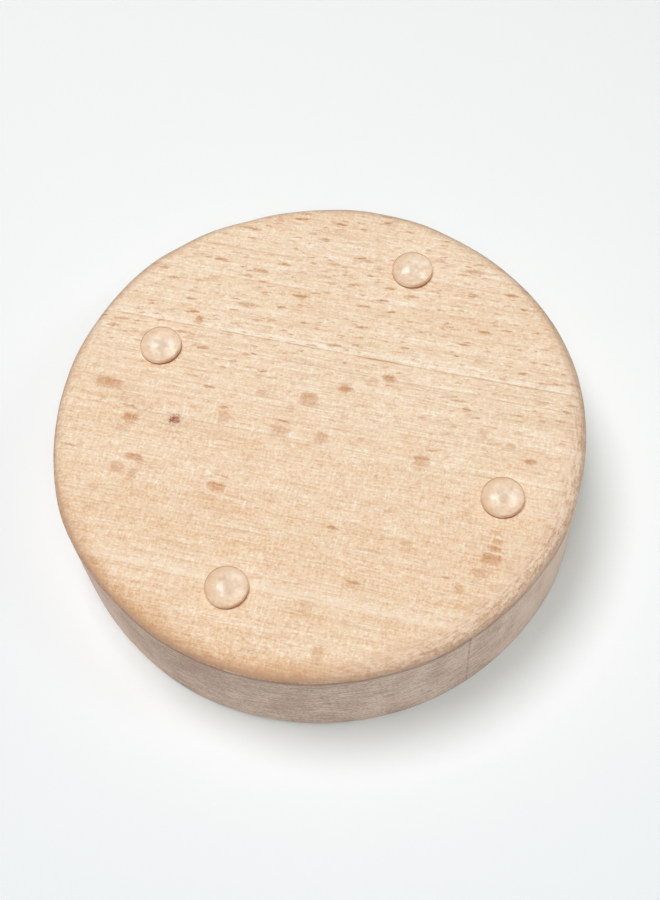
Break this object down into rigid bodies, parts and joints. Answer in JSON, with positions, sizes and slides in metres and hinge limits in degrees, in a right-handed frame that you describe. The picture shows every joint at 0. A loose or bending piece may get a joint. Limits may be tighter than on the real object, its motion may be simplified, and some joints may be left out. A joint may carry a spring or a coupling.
{
  "type": "butter mold",
  "caption": "Round wooden butter mold with a turned, rosette-carved cavity in its working face and clear stick-on bumper feet on the other.",
  "frame": {"origin": "centre of the rim plane on the block's axis, which is the surface that the mold lies on with its working face down", "axes": "+Z from the rim up to the feet side, along the block's axis; +X along the wood grain; +Y across the grain"},
  "size_m": [0.1, 0.1, 0.0286],
  "materials": {
    "beech": "sanded bare beech, matte",
    "clear_foot": "clear soft polyurethane, glossy",
    "adhesive": "clear pressure-sensitive adhesive film"
  },
  "bodies": {
    "root": {"mold_body": "beech", "foot_back": "clear_foot", "foot_left": "clear_foot", "foot_front": "clear_foot", "foot_right": "clear_foot", "adhesive_back": "adhesive", "adhesive_left": "adhesive", "adhesive_front": "adhesive", "adhesive_right": "adhesive"}
  },
  "joints": []
}
